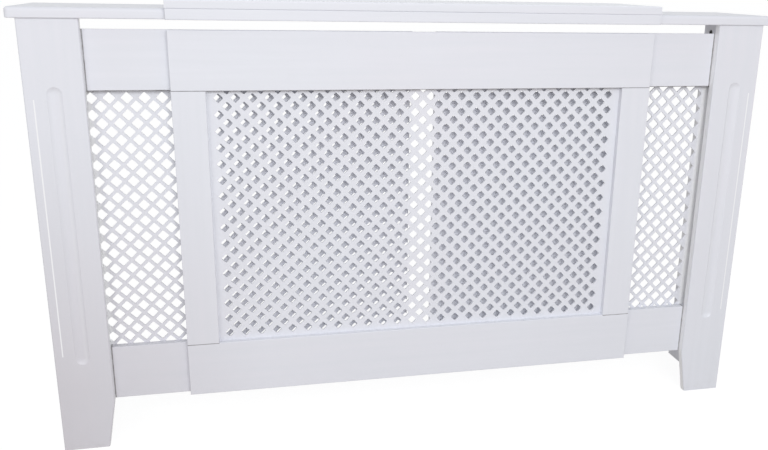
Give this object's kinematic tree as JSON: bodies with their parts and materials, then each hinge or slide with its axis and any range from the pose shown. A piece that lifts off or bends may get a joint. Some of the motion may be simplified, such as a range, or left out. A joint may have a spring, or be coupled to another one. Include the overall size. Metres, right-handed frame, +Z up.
{
  "type": "radiator cover cabinet",
  "caption": "White painted extending radiator cover: end units with fluted legs slide sideways behind a centre frame, with diamond lattice grilles and a shelf on top.",
  "frame": {"origin": "on the floor, in the middle of the overall width and depth, as set in the picture", "axes": "+X to the right seen from the front, +Y back towards the wall, +Z up"},
  "size_m": [1.39, 0.2102, 0.82],
  "materials": {
    "painted_board": "white satin paint on fibreboard",
    "painted_lattice": "white satin paint on punched hardboard",
    "plain_board": "unpainted fibreboard",
    "zinc_steel": "bright zinc plate",
    "black_plastic": "matte black moulded nylon",
    "beech": "plain beech"
  },
  "bodies": {
    "centre_unit": {"centre_bottom_rail": "painted_board", "centre_frame_dowels": "beech", "centre_grille": "painted_lattice", "centre_left_stile": "painted_board", "centre_lip_dowels": "beech", "centre_right_stile": "painted_board", "centre_shelf": "painted_board", "centre_shelf_lip": "painted_board", "centre_top_rail": "painted_board", "lower_guide": "plain_board", "lower_guide_screws": "zinc_steel", "lower_guide_spacer": "plain_board", "upper_guide": "plain_board", "upper_guide_screws": "zinc_steel", "upper_guide_spacer": "plain_board"},
    "left_unit": {"left_bottom_rail": "painted_board", "left_cam_bolts": "zinc_steel", "left_cams": "black_plastic", "left_dowels": "beech", "left_grille": "painted_lattice", "left_leg": "painted_board", "left_shelf": "painted_board", "left_side_panel": "painted_board", "left_top_rail": "painted_board"},
    "right_unit": {"right_bottom_rail": "painted_board", "right_cam_bolts": "zinc_steel", "right_cams": "black_plastic", "right_dowels": "beech", "right_grille": "painted_lattice", "right_leg": "painted_board", "right_shelf": "painted_board", "right_side_panel": "painted_board", "right_top_rail": "painted_board"}
  },
  "joints": [
    {"name": "slide_left", "type": "slide", "parent": "centre_unit", "child": "left_unit", "axis": [-1, 0, 0], "range_m": [-0.009, 0.32]},
    {"name": "slide_right", "type": "slide", "parent": "centre_unit", "child": "right_unit", "axis": [1, 0, 0], "range_m": [-0.009, 0.32]}
  ]
}
